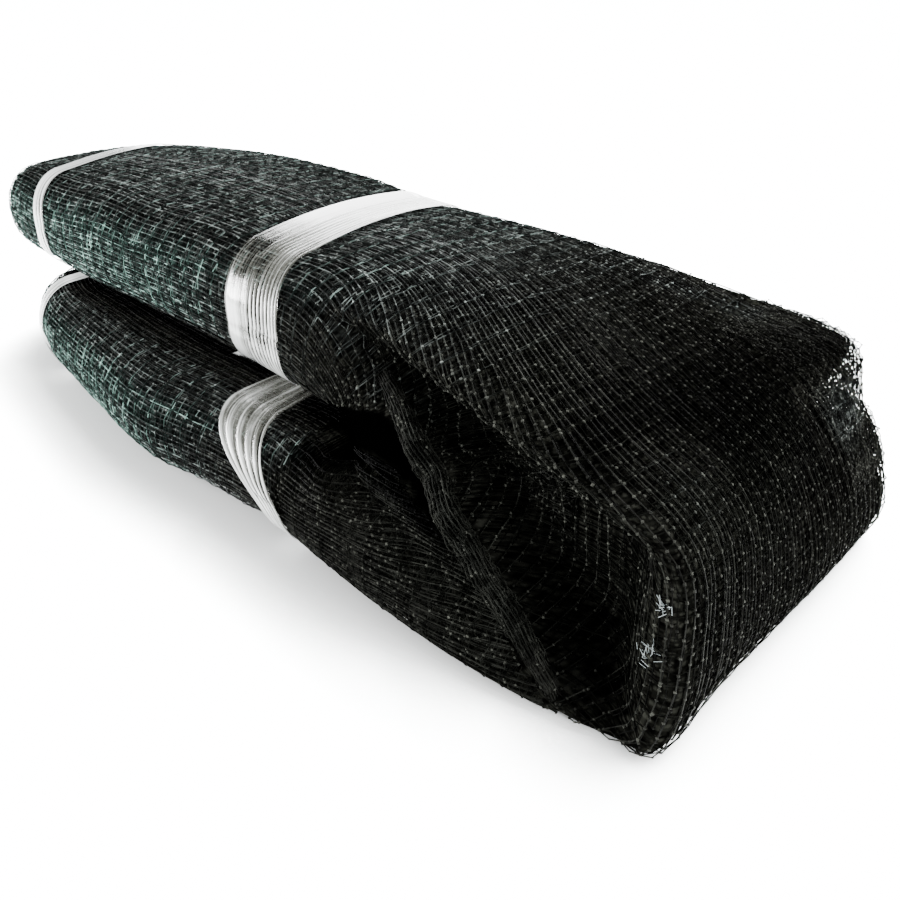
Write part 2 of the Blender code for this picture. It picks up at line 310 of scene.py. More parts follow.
pressed = np.zeros(form.shape[:2])
for band in BANDS:
    angles = angles_round(band.run)
    inside = np.minimum(back_of - at_angle(band.near, angles), at_angle(band.far, angles) - back_of)
    press = ease(PRESS_FROM, PRESS_FULL, inside) * RUN_ROWS[band.run][:, None]
    pressed = np.maximum(pressed, press)


def on_form(row, column):
    """The point, the outward normal and the pressing of bands at a row and column of the form."""
    row = np.clip(row, 0, len(form) - 1.001)  # the last row but a hair, so that a next one exists
    i, j = np.floor(row).astype(int), np.floor(column).astype(int)
    fi, fj = row - i, column - j
    weights = ((1 - fi) * (1 - fj), (1 - fi) * fj, fi * (1 - fj), fi * fj)
    spots = [(i + a, (j + b) % COLUMNS) for a in (0, 1) for b in (0, 1)]
    point, normal = (
        sum(w[:, None] * part[spot] for w, spot in zip(weights, spots)) for part in (form, outward)
    )
    press = sum(w * pressed[spot] for w, spot in zip(weights, spots))
    return point, normal, press


def place_on_form(length, round_way):
    """The row and column of the form at a way along and a way round the hank, in metres."""
    row = np.interp(length, LENGTHS, np.arange(len(LENGTHS)))
    return row, np.interp(round_way, ROUNDS, ROUND_COLUMNS)


def on_hank(length, round_way, lift):
    """Points on the hank: length metres from the lower loose end along the middle of the outer
    side, round_way metres round from it (left is negative) and lift metres proud."""
    point, normal, press = on_form(*place_on_form(length, round_way))
    lift = lift + (UNDER_FILM - lift) * press
    return point + normal * lift[:, None]


WAVES = 6  # to a swell
seeded = np.random.default_rng  # a stream of chance, the same each time


def wander(a, b, size, seed):
    """A smooth random swell over two coordinates in metres, about -1 to 1, size metres long."""
    chance = seeded(seed)
    total = np.zeros_like(a)
    for _ in range(WAVES):
        turn, phase = chance.uniform(0, 2 * np.pi, 2)
        pace = 2 * np.pi / (size * chance.uniform(0.7, 1.5))
        total = total + np.sin(pace * (a * np.cos(turn) + b * np.sin(turn)) + phase)
    return total / (WAVES / 2)


def new_grid(along, across):
    """A grid 1 m square, and where its vertices lie on it."""
    shape = bmesh.new()
    bmesh.ops.create_grid(shape, x_segments=along, y_segments=across, size=0.5)
    return shape, np.array([v.co for v in shape.verts])


def lay_out(shape, points, **attributes):
    """Moves a shape's vertices to these points, and gives them values for its finish."""
    for name, values in attributes.items():
        layer = shape.verts.layers.float.new(name)
        for vert, point, value in zip(shape.verts, points, values):
            vert.co = point
            vert[layer] = value


def lay_flat(shape, name, flats):
    """Gives a shape a UV map with these places for its vertices, in metres."""
    flat_map = shape.loops.layers.uv.new(name)
    for face in shape.faces:
        for loop in face.loops:
            loop[flat_map].uv = flats[loop.vert.index]


def new_piece(name, shape, material):
    mesh = bpy.data.meshes.new(name)
    shape.to_mesh(mesh)
    shape.free()
    mesh.shade_smooth()
    mesh.materials.append(material)
    piece = bpy.data.objects.new(name, mesh)
    bpy.context.scene.collection.objects.link(piece)
    return piece


class Nodes:
    """A node tree, with helpers that add to it."""

    def __init__(self, tree):
        self.tree = tree

    def plug(self, value, socket):
        """Gives a socket a value, or another node's output."""
        if isinstance(value, bpy.types.NodeSocket):
            self.tree.links.new(value, socket)
        elif value is not None:
            socket.default_value = value

    def add(self, kind, inputs=(), **settings):
        """Adds a node; its inputs are given in the order of its sockets, or by their names."""
        made = self.tree.nodes.new(kind)
        for key, value in settings.items():
            setattr(made, key, value)
        if isinstance(inputs, dict):
            sockets, inputs = [made.inputs[name] for name in inputs], inputs.values()
        else:
            sockets = made.inputs
        for socket, value in zip(sockets, inputs):
            self.plug(value, socket)
        return made

    def maths(self, operation, *inputs, **settings):
        return self.add("ShaderNodeMath", inputs, operation=operation, **settings).outputs[0]

    def vector(self, operation, *inputs):
        return self.add("ShaderNodeVectorMath", inputs, operation=operation).outputs[0]

    def noise(self, place, scale, detail, output="Fac"):
        return self.add("ShaderNodeTexNoise", (place, None, scale, detail)).outputs[output]

    def attribute(self, name):
        return self.add("ShaderNodeAttribute", attribute_name=name).outputs["Fac"]

    def fade(self, value, low, high, at_low=0.0, at_high=1.0):
        """A value mapped smoothly from the range low..high to at_low..at_high."""
        inputs = (value, low, high, at_low, at_high)
        return self.add("ShaderNodeMapRange", inputs, interpolation_type="SMOOTHSTEP").outputs[0]

    def blend(self, share, first, second):
        """One colour mixed into another by a share."""
        first, second = ((*end, 1.0) if isinstance(end, tuple) else end for end in (first, second))
        inputs = {"Factor": share, "A": first, "B": second}
        return self.add("ShaderNodeMix", inputs, data_type="RGBA").outputs["Result"]


class Finish(Nodes):
    """A material with its surface node."""

    def __init__(self, name, colour, roughness, specular):
        self.material = bpy.data.materials.new(name)
        self.material.use_nodes = True
        super().__init__(self.material.node_tree)
        self.surface = self.tree.nodes["Principled BSDF"]
        self.give("Base Color", (*colour, 1.0))
        self.give("Roughness", roughness)
        self.give("Specular IOR Level", specular)

    def give(self, name, value):
        """Sets or links an input of the surface."""
        self.plug(value, self.surface.inputs[name])

    def show(self, shader):
        """Makes this shader the one that shows."""
        self.plug(shader.outputs[0], self.tree.nodes["Material Output"].inputs["Surface"])


# How open each spot of the outside is to the light: the share of rays, slanting outwards, that get
# clear of the hank. Where it is low, in the creases, the net is painted dark: a painted shade.
OPEN_STEP, OPEN_RAYS = 3, 28  # rings and columns between the spots, and rays from each
OPEN_REACH, OPEN_LIFT, OPEN_LEAN = 0.30, 3 * MM, 1.02
hull = BVHTree.FromPolygons(
    form.reshape(-1, 3).tolist(),
    [
        (i * COLUMNS + j, i * COLUMNS + k, (i + 1) * COLUMNS + k, (i + 1) * COLUMNS + j)
        for i in range(len(form) - 1)
        for j, k in zip(range(COLUMNS), [*range(1, COLUMNS), 0])
    ],
)
chance = seeded(3)
rays = unit(chance.normal(size=(OPEN_RAYS, 3)))
open_rows, open_columns = np.arange(0, len(form), OPEN_STEP), np.arange(0, COLUMNS, OPEN_STEP)
coarse = np.zeros((len(open_rows), len(open_columns) + 1))
for i, row in enumerate(open_rows):
    for j, column in enumerate(open_columns):
        normal = outward[row, column]
        start = Vector(form[row, column] + normal * OPEN_LIFT)
        for ray in rays:
            way = Vector(unit(ray + normal * OPEN_LEAN))
            coarse[i, j] += hull.ray_cast(start, way, OPEN_REACH)[0] is None
coarse /= OPEN_RAYS
coarse[:, -1] = coarse[:, 0]
across = [np.interp(np.arange(COLUMNS), np.r_[open_columns, COLUMNS], line) for line in coarse]
openness = [np.interp(np.arange(len(form)), open_rows, line) for line in np.transpose(across)]
openness = np.array(openness).T

# how far apart the rings lie, as a share of their distance on the outer side: little in the crease,
# where the net is painted in shade
ring_steps = np.linalg.norm(np.gradient(form, axis=0), axis=2)
spread = ring_steps / ring_steps[:, :1]

# The left side of the fold, as distances back and up: the line of its long pleat, and the gap
# between the runs, painted black as shade, as it closes towards the fold, with its foot and its
# top.
PLEAT = PLEAT_TOP, PLEAT_FOOT = np.array([236, 146]) * MM, np.array([56, 9]) * MM
SIDE_NEAR, SIDE_FAR = 50 * MM, 290 * MM  # behind the pleat, the side's own net lies between these
GAP_BACK = np.array([150, 175, 198, 225, 262, 300]) * MM
GAP_FOOT = np.array([79, 88, 100, 103, 92, 88]) * MM
GAP_TOP = np.array([83, 104, 120, 131, 119, 104]) * MM
GAP_FAR = 330 * MM


def cells_at(row, column):
    """The nearest ring and column of the form to places between them."""
    i = np.clip(np.rint(row).astype(int), 0, len(form) - 1)
    return i, np.rint(column).astype(int) % COLUMNS


def on_side(points, left_by):
    """Whether points lie at least so far left of the middle, and how far back and up they are."""
    return points[:, 1] < shift_y - left_by, shift_x - points[:, 0], points[:, 2]


def behind_pleat(points):
    """Whether points lie on the left side between the gap's top and the pleat's foot."""
    left, back, up = on_side(points, 80 * MM)
    low = (up > 3 * MM) & (up < np.interp(back, GAP_BACK, GAP_TOP))
    behind = (ahead_of(*PLEAT, back, up) < 0) & (back > SIDE_NEAR) & (back < SIDE_FAR)
    return left & low & behind


def in_gap(points):
    """How far points of the left side lie in the painted black shade of the gap, 0 to 1."""
    left, back, up = on_side(points, 60 * MM)
    foot, top = np.interp(back, GAP_BACK, GAP_FOOT), np.interp(back, GAP_BACK, GAP_TOP)
    near = left & (back < GAP_FAR) & (ahead_of(*PLEAT, back, up) < 6 * MM)
    return near * ease(-5 * MM, 3 * MM, np.minimum(up - foot, top - up))


GLINTS = [
    # painted highlights, where bunched strands catch the light:
    # back, right of the middle, up and reach in mm, strength
    (196, -94, 172, 24, 0.16),
    (150, -104, 165, 20, 0.08),
    (24, -88, 139, 38, 0.15),
    (22, 98, 119, 30, 0.32),
    (194, 66, 185, 18, 0.34),
    (168, 84, 180, 18, 0.34),
    (142, 94, 174, 18, 0.34),
    (116, 104, 167, 18, 0.34),
]
# how far back the paling (dust and painted light) starts and is full, in metres: on the sides, and
# how much nearer on top, which is painted darker too, a painted shade; and what there is before it
# starts
PALING_START, START_NEARER = 0.250, 0.175
PALING_FULL, FULL_NEARER = 0.540, 0.255
TOP_SHADE, FRESH_PALING = 0.58, 0.05


def glint_at(i, j):
    caught = np.zeros(i.shape)
    for back, right, up, reach, strength in GLINTS:
        spot = np.array([shift_x - back * MM, shift_y + right * MM, up * MM])
        apart = np.linalg.norm(form[i, j] - spot, axis=1)
        caught = np.maximum(caught, strength * np.exp(-((apart / (reach * MM)) ** 2)))
    return caught


def dust_and_light_at(row, column):
    """How pale the net is painted at a row and column of the form: 1 palest, 0.05 fresh, 0 black.
    """
    i, j = cells_at(row, column)
    # painted light and shade by which way a spot faces: on top it pales sooner but is painted
    # darker
    up = ease(0.3, 0.9, outward[i, j, 2])
    start, full = PALING_START - START_NEARER * up, PALING_FULL - FULL_NEARER * up
    # dust and painted light: paler further back from the fold, while the near end stays fresh and
    # dark
    grown = np.clip((back_of[i, j] - start) / (full - start), 0.0, 1.0) ** 1.3
    bloom = (FRESH_PALING + (1 - FRESH_PALING) * grown) * (1 - TOP_SHADE * up)
    # painted shade in the creases, where little light gets in and the rings crowd together
    bloom *= ease(0.12, 0.85, openness[i, j]) * ease(0.05, 0.60, spread[i, j])
    # painted highlights at the glints, and black painted shade in the gap between the runs
    return np.maximum(bloom, glint_at(i, j)) * (1 - in_gap(form[i, j]))


# the black of painted shade, where the net is hidden in the creases and the gap
SHADE_TONE = (0.0002, 0.0002, 0.0002)
GREY_LEVEL, GREY_TINT = 0.42, 0.25  # of the pale colour, and how much of its tint it keeps


def pale_tone(finish, bloom, fresh, pale):
    """Painted shade black where hidden, fresh just out of it, then grey, pale at full dust and
    light.
    """
    mean = sum(pale) / 3
    grey = tuple(GREY_LEVEL * (GREY_TINT * part + (1 - GREY_TINT) * mean) for part in pale)
    tone = finish.blend(finish.fade(bloom, 0.0, 0.05), SHADE_TONE, fresh)
    tone = finish.blend(finish.fade(bloom, 0.05, 0.55), tone, grey)
    return finish.blend(finish.fade(bloom, 0.35, 1.0), tone, pale)


# The bulk's finish: the meshes of four hidden layers drawn over each other, a little wavy, each
# line as strong as chance has it, with a bead where lines cross and black between them.
DEEP_LAYERS = [
    # spacing along and round in metres, slant, phase along and round in cells, strength
    (0.0100, 0.0082, 0.00, 0.10, 0.30, 1.0),
    (0.0067, 0.0055, 0.04, 0.60, 0.80, 0.8),
    (0.0103, 0.0079, -0.05, 0.35, 0.55, 0.9),
    (0.0061, 0.0049, -0.09, 0.85, 0.05, 0.7),
]
FAINTEST = 0.15  # share of its strength that the faintest line keeps
deep = Finish("deep net", (0.0006, 0.0006, 0.0006), roughness=0.7, specular=0.0)
place = deep.add("ShaderNodeTexCoord").outputs["Object"]
waves = deep.vector("MULTIPLY", deep.noise(place, 14.0, 1.0, "Color"), (0.011, 0.011, 0.0))
flow = deep.add("ShaderNodeUVMap", uv_map="along_and_round").outputs["UV"]
flow = deep.add("ShaderNodeSeparateXYZ", (deep.vector("ADD", flow, waves),)).outputs


def drawn_line(cells, width):
    """1 along the lines where cells meet, fading to 0 at a width either side of them."""
    return deep.fade(deep.maths("PINGPONG", cells, 0.5), 0.04, width, 1.0, 0.0)


def by_chance(line, *cell):
    """A line made stronger or fainter from cell to cell."""
    pair = deep.add("ShaderNodeCombineXYZ", cell).outputs[0]
    share = deep.add("ShaderNodeTexWhiteNoise", (pair,), noise_dimensions="2D").outputs["Value"]
    return deep.maths("MULTIPLY", line, deep.maths("MULTIPLY_ADD", share, 1 - FAINTEST, FAINTEST))


strands, knots = [], []
for along, around, slant, phase_a, phase_r, strength in DEEP_LAYERS:
    a = deep.maths("MULTIPLY_ADD", flow["X"], 1 / along, phase_a)
    r = deep.maths("MULTIPLY_ADD", flow["X"], slant, flow["Y"])
    r = deep.maths("MULTIPLY_ADD", r, 1 / around, phase_r)
    cross, long = drawn_line(a, 0.20), drawn_line(r, 0.22)
    knots.append(deep.maths("MULTIPLY", cross, long))
    cross = by_chance(cross, deep.maths("ROUND", a), deep.maths("FLOOR", r))
    long = by_chance(long, deep.maths("FLOOR", a), deep.maths("ROUND", r))
    strands.append(deep.maths("MULTIPLY", deep.maths("MAXIMUM", cross, long), strength))
strands, knots = (reduce(partial(deep.maths, "MAXIMUM"), drawn) for drawn in (strands, knots))
cloud = deep.fade(deep.noise(place, 45.0, 2.0), 0.30, 0.70, 0.45, 1.25)
mass = deep.maths("MULTIPLY_ADD", knots, 0.90, deep.maths("MULTIPLY", strands, 0.45))
mass = deep.maths("MULTIPLY", mass, cloud)
# how pale the bulk is painted, from dust and painted light, with painted shade in the creases
bloom = deep.attribute("bloom")
lit = pale_tone(deep, bloom, (0.0190, 0.0195, 0.0160), (0.026, 0.045, 0.039))
gap = pale_tone(deep, bloom, (0.0003, 0.0003, 0.0003), (0.0018, 0.0032, 0.0027))
deep.give("Base Color", deep.blend(mass, gap, lit))
deep.give("Normal", deep.add("ShaderNodeBump", (0.6, 0.0015, None, strands)).outputs[0])

# how far the lengthwise strands slip to the left on the fold, and where that comes and goes
SHEAR = 79 * MM
SHEAR_PLACES = (10.5, 13.2, 17.2, 20.6)
# Where the net is out of its even form: at a place along and metres round, how far it reaches along
# and round, how far out it is, and which way.
Bulge = namedtuple("Bulge", "place round reach_along reach_round size way")
SLACK = Bulge(17.55, 0.108, 0.046, 0.050, 33 * MM, (0.93, 0.28, 0.16))  # the loose corner
TUCK = Bulge(14.5, 0.100, 0.050, 0.040, 8 * MM, (-0.6, -0.8, 0.0))  # pulled in lower down
SAG = Bulge(13.1, -0.112, 0.034, 0.028, 12 * MM, (0.55, -0.83, 0.0))  # the fold's left foot
BITE = Bulge(15.8, 0.100, 0.036, 0.036, 23 * MM, (-0.80, -0.58, -0.10))  # the bulk behind it
BULK_SLACK = (0.96, 15.7, 17.5)  # share of the slack that the bulk follows, from and to a place
SUNK = 2.4 * MM  # how deep the bulk lies under the form
TIGHT = 0.75  # how much less than that where it fills the net tight
TIGHT_PLACES = (17.6, 18.6)


def length_at(place):
    """How far along the hank a place in the table is, in metres."""
    return np.interp(place, places, LENGTHS)


def sheared(length):
    """How far the lengthwise strands have slipped to the left on the fold, in metres."""
    none, full, still_full, gone = (length_at(place) for place in SHEAR_PLACES)
    return SHEAR * np.minimum(ease(gone, still_full, length), ease(none, full, length))


def bulge(spot, length, round_way):
    """How far the net is out of its even form round one spot, in metres."""
    away = ((length - length_at(spot.place)) / spot.reach_along) ** 2
    away += ((round_way - spot.round) / spot.reach_round) ** 2
    return (spot.size * np.exp(-away))[:, None] * np.array(spot.way)


def settled(length, round_way):
    """How far the fold's right side is pulled in lower down and its left foot sags out."""
    return bulge(TUCK, length, round_way) + bulge(SAG, length, round_way)


shape, spots = new_grid(COLUMNS, len(form) - 1)
column = np.rint(spots[:, 0] * COLUMNS).astype(int)  # 0 in the middle of the outer side
row = np.rint((spots[:, 1] + 0.5) * (len(form) - 1)).astype(int)
lengths, rounds = LENGTHS[row], ROUNDS[column + COLUMNS // 2]
lay_flat(shape, "along_and_round", np.column_stack([lengths, rounds + sheared(lengths)]))
# on the upper run's right edge the bulk fills the net tight, so that no daylight shows through it
out = outward[row, column % COLUMNS]
tight = ease(*(length_at(place) for place in TIGHT_PLACES), lengths)
tight *= ease(0.05, 0.45, out[:, 1])
sunk = form[row, column % COLUMNS] - out * (SUNK * (1 - TIGHT * tight))[:, None]
most, start, full = BULK_SLACK
follow = most * ease(length_at(start), length_at(full), lengths)
sunk += bulge(SLACK, lengths, rounds) * follow[:, None] + settled(lengths, rounds)
sunk += bulge(BITE, lengths, rounds)
sunk[:, 2] = np.maximum(sunk[:, 2], 0.8 * MM)
lay_out(shape, sunk, bloom=dust_and_light_at(row, column))
bmesh.ops.remove_doubles(shape, verts=shape.verts[:], dist=1e-5)
bmesh.ops.holes_fill(shape, edges=shape.edges[:], sides=0)
bmesh.ops.recalc_face_normals(shape, faces=shape.faces[:])
bulk = new_piece("net_bulk", shape, deep.material)
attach(bulk, "root")
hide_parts("netting")

# The outer net layers. Square mesh of thin extruded strands, welded into small thick knots where
# they cross; each layer lies loosely over the next, so that its cells sit at random between them.
STRAND, KNOT = 0.9 * MM, 2.5 * MM
KNOT_FLAT = 0.55  # a knot's thickness, as a share of its width
CROSS_WIDTH = 0.95  # a cross strand's width, as a share of a lengthwise one's
GLINT_SCALE = 190.0  # bits of strand painted alike with a painted highlight are about 5 mm long


def net_material(name, fresh, pale, roughness, specular):
    """Plastic painted with highlights: each bit of strand brighter or darker at random, as if
    slanted.
    """
    net = Finish(name, fresh, roughness, specular)
    net.give("IOR", 1.4)
    bloom = net.attribute("bloom")
    # painted highlights: a brightness at random for each strand and for each bit of it
    slant = net.add("ShaderNodeNewGeometry").outputs["Random Per Island"]
    place = net.add("ShaderNodeTexCoord").outputs["Object"]
    bits = net.add("ShaderNodeTexVoronoi", (place, None, GLINT_SCALE)).outputs["Color"]
    bit = net.add("ShaderNodeSeparateColor", (bits,)).outputs[0]
    # painted highlights: even and faint where the net is fresh, few but bright where it is pale
    calm = net.maths("MULTIPLY_ADD", bit, 1.3, 0.35)
    wild = net.maths("MULTIPLY_ADD", net.maths("POWER", bit, 3.0), 3.4, 0.15)
    paled = net.fade(bloom, 0.04, 0.35)
    caught = net.maths("MULTIPLY_ADD", net.maths("SUBTRACT", wild, calm), paled, calm)
    caught = net.maths("MULTIPLY", caught, net.maths("MULTIPLY_ADD", slant, 0.8, 0.60))
    tone = pale_tone(net, bloom, fresh, pale)
    net.give("Base Color", net.vector("SCALE", tone, None, None, caught))
    return net.material


# one plastic in three tones: cross strands painted darker as shade, knots paler as a painted
# highlight
strand_material = net_material(
    "net strand", (0.0108, 0.0112, 0.0096), (0.086, 0.146, 0.127), 0.40, 0.025
)
cross_material = net_material(
    "net cross strand", (0.0045, 0.0047, 0.0040), (0.070, 0.118, 0.102), 0.60, 0.0
)
knot_material = net_material(
    "net knot", (0.0330, 0.0340, 0.0290), (0.170, 0.280, 0.245), 0.32, 0.04
)

# Nodes that grow the net on a mesh: each chosen edge becomes a three-sided rod, and each chosen
# vertex a flat eight-sided bead.
knit = Nodes(bpy.data.node_groups.new("strands and knots", "GeometryNodeTree"))
sockets = knit.tree.interface
sockets.new_socket("Geometry", in_out="INPUT", socket_type="NodeSocketGeometry")
sockets.new_socket("Geometry", in_out="OUTPUT", socket_type="NodeSocketGeometry")
strand_width = sockets.new_socket("Strand", in_out="INPUT", socket_type="NodeSocketFloat")
knot_width = sockets.new_socket("Knot", in_out="INPUT", socket_type="NodeSocketFloat")
strand_width, knot_width = strand_width.identifier, knot_width.identifier
given = knit.add("NodeGroupInput").outputs


def grown(kind, output, inputs, **settings):
    """One output of a node that has named inputs."""
    return knit.add(kind, inputs, **settings).outputs[output]


def named(name):
    return grown("GeometryNodeInputNamedAttribute", "Attribute", {"Name": name}, data_type="FLOAT")


def dressed(mesh, material):
    inputs = {"Geometry": mesh, "Material": material}
    return grown("GeometryNodeSetMaterial", "Geometry", inputs)


def rods(chosen, width, material):
    """The chosen edges as rods, their width a share of a strand's."""
    radius = knit.maths("MULTIPLY", given["Strand"], width / 2)
    ring = {"Resolution": 3, "Radius": radius}
    ring = grown("GeometryNodeCurvePrimitiveCircle", "Curve", ring, mode="RADIUS")
    lines = {"Mesh": given["Geometry"], "Selection": chosen}
    lines = grown("GeometryNodeMeshToCurve", "Curve", lines)
    swept = {"Curve": lines, "Profile Curve": ring}
    return dressed(grown("GeometryNodeCurveToMesh", "Mesh", swept), material)


lengthwise = named("runs_long")
long_rods = rods(lengthwise, 1.0, strand_material)
cross_rods = rods(knit.maths("SUBTRACT", 1.0, lengthwise), CROSS_WIDTH, cross_material)
bead = grown("GeometryNodeMeshUVSphere", "Mesh", {"Segments": 4, "Rings": 2, "Radius": 0.5})
normal = {"Vector": grown("GeometryNodeInputNormal", "Normal", {})}
upright = grown("FunctionNodeAlignRotationToVector", "Rotation", normal, axis="Z")
thickness = knit.maths("MULTIPLY", given["Knot"], KNOT_FLAT)
size = knit.add("ShaderNodeCombineXYZ", (given["Knot"], given["Knot"], thickness)).outputs[0]
studs = {
    "Points": given["Geometry"],
    "Selection": named("knot"),
    "Instance": dressed(bead, knot_material),
    "Rotation": upright,
    "Scale": size,
}
studs = {"Geometry": grown("GeometryNodeInstanceOnPoints", "Instances", studs)}
beads = grown("GeometryNodeRealizeInstances", "Geometry", studs)
both = knit.add("GeometryNodeJoinGeometry")
for part in (beads, long_rods, cross_rods):
    knit.plug(part, both.inputs["Geometry"])
smooth = {"Geometry": both.outputs["Geometry"]}
smooth = grown("GeometryNodeSetShadeSmooth", "Geometry", smooth)
knit.add("NodeGroupOutput", {"Geometry": smooth})


def strands_of(name, shape, thin=1.0):
    """The net whose strands run along the edges of this shape."""
    piece = new_piece(name, shape, strand_material)
    knitted = piece.modifiers.new("strands", "NODES")
    knitted.node_group = knit.tree
    knitted[strand_width], knitted[knot_width] = STRAND * thin, KNOT * thin
    graph = bpy.context.evaluated_depsgraph_get()
    made = bpy.data.meshes.new_from_object(piece.evaluated_get(graph))
    piece.modifiers.clear()
    piece.data = made
    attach(piece, "root")
    return piece


AT_LINE = 0.05  # how near to a line of the mesh counts as on it, in cells


def net_grid(cells_long, cells_round, cuts):
    """A grid whose edges are the strands, where its vertices lie, counted in cells, and how far
    they lie from the nearest lines of the mesh."""
    shape, _ = new_grid(cells_long, cells_round)
    if cuts:
        bmesh.ops.bisect_edges(shape, edges=shape.edges[:], cuts=cuts)
    runs_long = shape.edges.layers.float.new("runs_long")
    for edge in shape.edges:
        edge[runs_long] = float(abs(edge.verts[1].co.y - edge.verts[0].co.y) < 1e-6)
    spots = np.array([v.co for v in shape.verts])
    spots = (spots[:, :2] + 0.5) * np.array([cells_long, cells_round])
    return shape, spots, np.abs(spots - np.rint(spots))


def finished_net(name, shape, points, dust_and_light_levels, is_knot, gone, thin=1.0):
    """The net of a grid whose vertices move to these points, without the gone ones."""
    points[:, 2] = np.maximum(points[:, 2], KNOT / 2)  # its knots lie on the floor, not in it
    lay_out(shape, points, bloom=dust_and_light_levels, knot=is_knot.astype(float))
    hidden = [vert for vert, lost in zip(shape.verts, gone) if lost]
    bmesh.ops.delete(shape, geom=hidden, context="VERTS")
    bmesh.ops.recalc_face_normals(shape, faces=shape.faces[:])
    strands_of(name, shape, thin)


# the size of the net's cells as they are drawn together, and how far round the layers reach
MESH = (20.0 * MM, 16.5 * MM)
ALL_ALONG, ALL_ROUND = (0.0, LENGTHS[-1]), (-0.30, 0.36)
FOLD_CELLS = (length_at(11.5) / MESH[0], length_at(19.8) / MESH[0])  # where net crosses net halfway
TOP_LIFT, LAYER_STEP = 0.7, 0.36  # mm that the outermost layer lies proud, and the layers' step
CUT_LAYERS = 3  # the outer layers' strands bend between knots
DEEPEST = 14  # a layer so deep would lie as far back under the loose net as the bulk does
LAYERS = [
    # phase along and round, in cells, and how much of the slack at the corner the layer follows;
    # the lengthwise strands gather in ropes a quarter of a cell apart, their cross strands don't
    (0.00, 0.00, 1.0),
    (0.12, 0.50, 0.9),
    (0.40, 0.26, 0.8),
    (0.62, 0.76, 0.7),
    (0.80, 0.04, 0.3),
    (0.37, 0.54, 0.2),
    (0.20, 0.30, 0.1),
    (0.87, 0.80, 0.0),
    (0.60, 0.13, 0.0),
]
# how strands stray along and round: how far, the size of a swell, its seed, and 1 where each layer
# strays its own way
STRAYS_LONG = ((3.0 * MM, 0.20, 71, 0), (0.9 * MM, 0.11, 100, 1))
STRAYS_ROUND = ((2.5 * MM, 0.17, 72, 0), (0.6 * MM, 0.10, 200, 1), (0.3 * MM, 0.035, 300, 1))
STRAY_UP = 0.40 * MM
ARCH, LEAN = 0.5 * MM, 0.7 * MM  # of the middle of a cross strand between two knots
# a painted highlight on the top of each arch
ARCH_HIGHLIGHT = 0.5  # how much paler it is up there
CREASE = 0.42  # no strands show where the rings lie closer together than this
DARK = 0.02  # nor where less than this share of the light gets in
LAYER_DIM = 0.86  # each layer is painted so much darker than the one over it, a painted shade
UNDERSIDE, UNDERSIDE_LAYERS = -0.6, 3  # so few layers are laid where the net faces down
LOOSE_THIN = 0.62  # width of the loose net's strands, as a share of the others'


def strayed(strays, length, round_way, depth):
    return sum(
        far * wander(length, round_way, size, seed + own * depth) for far, size, seed, own in strays
    )


def net_layer(name, depth, phases, mesh, along, around, lift, cuts, slip, follow, sink, tangle):
    """One layer of net over a stretch of the hank. It slips with the shear, follows the slack and
    sinks with the bulk by the shares given, and is tangled by metres of chance."""
    cells_long = int((along[1] - along[0]) / mesh[0])
    cells_round = int((around[1] - around[0]) / mesh[1])
    shape, spots, off_line = net_grid(cells_long, cells_round, cuts)
    on_fold = (spots[:, 0] > FOLD_CELLS[0]) & (spots[:, 0] < FOLD_CELLS[1]) & (mesh == MESH)
    is_knot = off_line.max(axis=1) < AT_LINE
    is_knot |= on_fold & (off_line.min(axis=1) < AT_LINE)
    length = along[0] + (spots[:, 0] + phases[0]) * mesh[0]
    round_way = around[0] + (spots[:, 1] + phases[1]) * mesh[1]
    stray_long = strayed(STRAYS_LONG, length, round_way, depth)
    stray_round = strayed(STRAYS_ROUND, length, round_way, depth)
    length = np.clip(length + stray_long, 0.0, LENGTHS[-1])
    round_way = round_way + stray_round - slip * sheared(length)
    # the cells are drawn together sideways, so each bit of cross strand stands up in an arch
    arched = off_line[:, 1] * 2
    leans = seeded(500 + depth).normal(size=len(spots))
    length = np.clip(length + LEAN * arched * leans, 0.0, LENGTHS[-1])
    lifts = lift + STRAY_UP * wander(length, round_way, 0.08, 400 + depth)
    lifts += ARCH * (arched - 0.4 * is_knot)
    points = on_hank(length, round_way, lifts) + bulge(SLACK, length, round_way) * follow
    points += settled(length, round_way) + bulge(BITE, length, round_way) * sink
    points += tangle * seeded(600 + depth).normal(size=points.shape)
    row, column = place_on_form(length, round_way)
    # painted shade: each deeper layer is painted darker
    dimmed = 1.0 if tangle else LAYER_DIM**depth
    # painted light and shade: a painted highlight on each arch, deeper layers darker
    dust_and_light_levels = dust_and_light_at(row, column) * dimmed * (1 + ARCH_HIGHLIGHT * arched)
    i, j = cells_at(row, column)
    gone = (spread[i, j] < CREASE) | behind_pleat(points) | (openness[i, j] < DARK)
    if depth >= UNDERSIDE_LAYERS:
        gone |= outward[i, j, 2] < UNDERSIDE
    thin = LOOSE_THIN if tangle else 1.0
    finished_net(name, shape, points, dust_and_light_levels, is_knot, gone, thin)


for depth, (*phases, follow) in enumerate(LAYERS):
    where = (MESH, ALL_ALONG, ALL_ROUND, (TOP_LIFT - LAYER_STEP * depth) * MM)
    cuts, sink = int(depth < CUT_LAYERS), depth / DEEPEST
    net_layer(f"net_layer_{depth + 1}", depth, phases, *where, cuts, 1, follow, sink, tangle=0)

# The left side of the fold. The lower run's net runs straight on under the crease, up to one long
# pleat of bunched net that slants down from the crease's end to the floor.
BESIDE = 0.6  # left of the middle, from where the side is looked for, in metres
LOWEST_RAY = 2 * MM
NOT_MET = 9.0  # the rings' spread where there is no side


